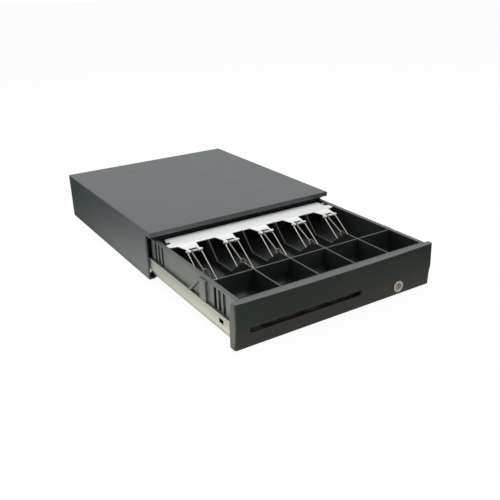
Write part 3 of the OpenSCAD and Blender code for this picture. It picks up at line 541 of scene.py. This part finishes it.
# ---- till and its lugs ----
# A moulded black plastic tray with five note wells and five coin cells, ribbed sides, and a triangular
# lug on each flank. A painted highlight makes its rims and outer sides a little paler. It lies loose in
# the drawer and lifts out.
# painted light: the rims above top and the outer sides beyond flank take a paler colour for the lamps' light
# on them
till_plastic = finish("till_plastic", deep=(0.0125, 0.0165, 0.0148), pale=(0.017, 0.0215, 0.0195),
                      worn=(0.07, 0.075, 0.07), rough=(0.4, 0.5), grain=1200, depth=0.00004, wear=0.5,
                      painted_light_colour=(0.052, 0.06, 0.053), top=0.0873, flank=0.1946)
made_from("till_tray", "till", till_plastic, edge=0.0006)
made_from("till_lugs", "till", till_plastic, edge=0.0005)

# ---- bill plate ----
# A strip of bright steel across the rear of the till, brushed along its length, with five tabs whose
# curled ends hold the clip pins. Two screws hold it down.
plate_steel = finish("plate_steel", deep=(0.64, 0.65, 0.65), pale=(0.74, 0.75, 0.75), worn=(0.95, 0.95, 0.95),
                     rough=(0.45, 0.6), metal=0.6, grain=800, broad=50, stretch=(0.05, 1, 1), depth=0.000006)
made_from("bill_plate", "till", plate_steel, edge=0.0003)

# ---- clip pins and clip springs ----
# A bright steel pin through the curl of each tab, and round it a spring of nine turns that presses the
# clip down on the notes.
spring_steel = finish("spring_steel", deep=(0.5, 0.5, 0.47), pale=(0.62, 0.62, 0.6), worn=(0.8, 0.8, 0.8),
                      rough=(0.25, 0.35), metal=1)
made_from("clip_pins", "till", spring_steel, edge=0.0002)


def coil_spring(name, start, end, coil, wire, turns):
    """A round wire wound into a coil from start to end; coil and wire are radii."""
    between = (end - start).length - 2 * wire
    bpy.ops.object.select_all(action="DESELECT")
    bpy.ops.mesh.primitive_circle_add(vertices=10, radius=wire, location=(coil, 0, wire),
                                      rotation=(math.pi / 2, 0, 0))
    spring = bpy.context.active_object
    spring.name = spring.data.name = name
    bpy.ops.object.transform_apply(location=True, rotation=True, scale=True)
    winding = spring.modifiers.new("winding", "SCREW")
    winding.axis = "Z"
    winding.iterations = turns
    winding.screw_offset = between / turns
    winding.steps = winding.render_steps = 20
    apply_all(spring)
    in_edit(select_all, lambda: bpy.ops.mesh.fill_holes(sides=0), select_all,
            lambda: bpy.ops.mesh.normals_make_consistent(inside=False))
    spring.data.transform((end - start).to_track_quat("Z", "Y").to_matrix().to_4x4())
    spring.data.transform(Matrix.Translation(start))
    bpy.ops.object.shade_smooth_by_angle(angle=math.radians(50))
    return spring


def joined(name, pieces):
    bpy.ops.object.select_all(action="DESELECT")
    for piece in pieces:
        piece.select_set(True)
    bpy.context.view_layer.objects.active = pieces[0]
    bpy.ops.object.join()
    pieces[0].name = pieces[0].data.name = name
    return pieces[0]


clip_hinges = [Vector(joint["pos_m"]) for joint in frame["joints"] if joint["name"].startswith("clip_")]
spring_from, spring_to = Vector((-0.0034, 0, 0)), Vector((0.0078, 0, 0))
springs = [coil_spring("clip_spring", hinge + spring_from, hinge + spring_to, coil=0.0024, wire=0.00045,
                       turns=9) for hinge in clip_hinges]
settle(joined("clip_springs_made", springs), "till", spring_steel, "clip_springs")

# ---- plunger spring and kick spring ----
# Two steel compression springs in the case. The short one pushes the coil's plunger back down, and the
# long one lies on its rod behind the drawer and pushes it open.
along_y, along_z = 1, 2
for node, axis, turns, wire, joint, keep in (
        ("plunger_spring", along_z, 6, 0.0004, "plunger_slide", 0.76),
        ("kick_spring", along_y, 11, 0.0007, "drawer_slide", 0.435)):
    spring_low, spring_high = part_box(node)
    first = (spring_low + spring_high) / 2
    last = first.copy()
    first[axis], last[axis] = spring_low[axis], spring_high[axis]
    coil = (spring_high - spring_low).x / 2 - wire
    spring = coil_spring(node + "_made", first, last, coil, wire, turns)
    settle(spring, "case", spring_steel, node)
    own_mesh(spring)

# ---- bill clips and their arms ----
# Each clip is a bail of polished steel wire with both legs wound round the clip pin, and a duller strip
# arm in its middle with a curled end. The two turn together and press the notes down.
wire_steel = finish("wire_steel", deep=(0.4, 0.4, 0.36), pale=(0.52, 0.52, 0.47), worn=(0.75, 0.75, 0.72),
                    rough=(0.18, 0.28), metal=1)
arm_steel = finish("arm_steel", deep=(0.1, 0.1, 0.075), pale=(0.2, 0.2, 0.16), worn=(0.4, 0.4, 0.36),
                   rough=(0.4, 0.5), metal=1)
wire_radius, wire_bend, wire_apart = 0.0013, 0.002, 0.0284
clip_run, clip_drop = 0.0538, 0.0393
wrap_radius, wrap_width, wrap_steps, wrap_turn = 0.0021, 0.0016, 18, math.radians(30)


def bent_wire(name, corners, bend, radius):
    """A round wire through the corners, each turned with a small bend that keeps to its half of a leg."""
    steps, over_half = 5, 2.01
    path = [corners[0]]
    for before, corner, after in zip(corners, corners[1:], corners[2:]):
        reach = min(bend, (before - corner).length / over_half, (after - corner).length / over_half)
        enter = corner + (before - corner).normalized() * reach
        leave = corner + (after - corner).normalized() * reach
        for part in (step / steps for step in range(steps + 1)):
            path.append(enter.lerp(corner, part).lerp(corner.lerp(leave, part), part))
    path.append(corners[-1])
    curve = bpy.data.curves.new(name, "CURVE")
    curve.dimensions = "3D"
    curve.bevel_depth = radius
    curve.bevel_resolution = 3
    curve.use_fill_caps = True
    line = curve.splines.new("POLY")
    line.points.add(len(path) - 1)
    for point, at in zip(line.points, path):
        point.co = (*at, 1)
    wire = bpy.data.objects.new(name, curve)
    bpy.context.scene.collection.objects.link(wire)
    only(wire)
    bpy.ops.object.convert(target="MESH")
    bpy.ops.object.shade_smooth_by_angle(angle=math.radians(50))
    return bpy.context.view_layer.objects.active


def around_pin(pin, outward, leg_angle):
    """One and a half turns of wire round the clip pin, ending where the leg leaves."""
    turns = []
    for k in range(wrap_steps + 1):
        angle = leg_angle + wrap_turn * (k - wrap_steps)
        turns.append(pin + Vector((outward * wrap_width * (0.5 - k / wrap_steps),
                                   -wrap_radius * math.cos(angle), -wrap_radius * math.sin(angle))))
    return turns


for i, hinge in enumerate(clip_hinges, 1):
    legs = []
    for outward in (-1, 1):
        pin = hinge + Vector((outward * wire_apart / 2, 0, 0))
        legs.append(around_pin(pin, outward, math.atan2(clip_drop, clip_run))
                    + [pin - Vector((0, clip_run, clip_drop))])
    bail = bent_wire(f"bill_clip_{i}_made", legs[0] + legs[1][::-1], wire_bend, wire_radius)
    settle(bail, f"clip_{i}", wire_steel, f"bill_clip_{i}")
    made_from(f"clip_arm_{i}", f"clip_{i}", arm_steel, edge=0.0002)

# ---- lock ----
# A turned, nickel-plated cylinder lock: the housing goes through the front and its nut clamps it there,
# and the duller plug with the keyway turns in it.
lock_nickel = finish("lock_nickel", deep=(0.42, 0.41, 0.34), pale=(0.55, 0.54, 0.46), worn=(0.85, 0.84, 0.8),
                     rough=(0.2, 0.32), metal=1, grain=900, depth=0.00001)
made_from("lock_housing", "drawer", lock_nickel, edge=0.0006, steps=3)
plug_nickel = finish("plug_nickel", deep=(0.14, 0.14, 0.11), pale=(0.4, 0.39, 0.32), worn=(0.7, 0.69, 0.6),
                     rough=(0.25, 0.4), metal=1, grain=900, broad=220, depth=0.00001)
made_from("lock_plug", "lock", plug_nickel, edge=0.0003)

# ---- coil plunger ----
# The turned and nickel-plated steel core of the release. The coil pulls it up, and it lifts the tail of
# the latch lever.
made_from("solenoid_plunger", "plunger", lock_nickel, edge=0.0003)

# ---- screws ----
# Zinc-plated steel screws that hold the base, the rear panel, the drawer's front and the bill plate.
# The two on the bill plate can be seen, and have a cross cut into their heads.
for node in ("base_screws", "rear_screws"):
    made_from(node, "case", zinc, edge=0.0003)
made_from("fascia_screws", "drawer", zinc, edge=0.0003)
screws = bench_copy("plate_screws")
screws_low, screws_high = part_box("plate_screws")
head_radius, cross_turn, cross_size, cross_lift = 0.004, 0.5, (0.0046, 0.0009, 0.0016), 0.0003
for x in (screws_low.x + head_radius, screws_high.x - head_radius):
    for turn in (cross_turn, cross_turn + math.pi / 2):
        bpy.ops.object.select_all(action="DESELECT")
        at = (x, (screws_low.y + screws_high.y) / 2, screws_high.z + cross_lift)
        bpy.ops.mesh.primitive_cube_add(size=1, location=at, rotation=(0, 0, turn))
        blade = bpy.context.active_object
        blade.scale = cross_size
        recess = screws.modifiers.new("recess", "BOOLEAN")
        recess.operation = "DIFFERENCE"
        recess.object = blade
        apply_all(screws)
        bpy.data.objects.remove(blade)
round_edges(screws, width=0.0002)
settle(screws, "till", zinc, "plate_screws")

# ---- coil ----
# The winding of the release, wrapped in dark red tape. It sits in the steel yoke at the rear of the
# case, behind the drawer.
coil_tape = finish("coil_tape", deep=(0.3, 0.07, 0.04), pale=(0.42, 0.12, 0.07), worn=(0.5, 0.2, 0.12),
                   rough=(0.35, 0.5))
made_from("solenoid_coil", "case", coil_tape, edge=0.0003)

# ---- micro switch, cable socket and switch button ----
# Small black mouldings screwed or snapped into the rear of the case. The switch's red button slides in
# it, and tells that the drawer is shut.
switch_case = finish("switch_case", deep=(0.015, 0.015, 0.015), pale=(0.025, 0.025, 0.025),
                     worn=(0.08, 0.08, 0.08), rough=(0.25, 0.35))
for node in ("micro_switch", "cable_socket"):
    made_from(node, "case", switch_case, edge=0.0004)
button_red = finish("button_red", deep=(0.45, 0.04, 0.03), pale=(0.55, 0.06, 0.04), worn=(0.6, 0.2, 0.15),
                    rough=(0.25, 0.35))
made_from("switch_button", "button", button_red, edge=0.0003)

bpy.context.view_layer.update()
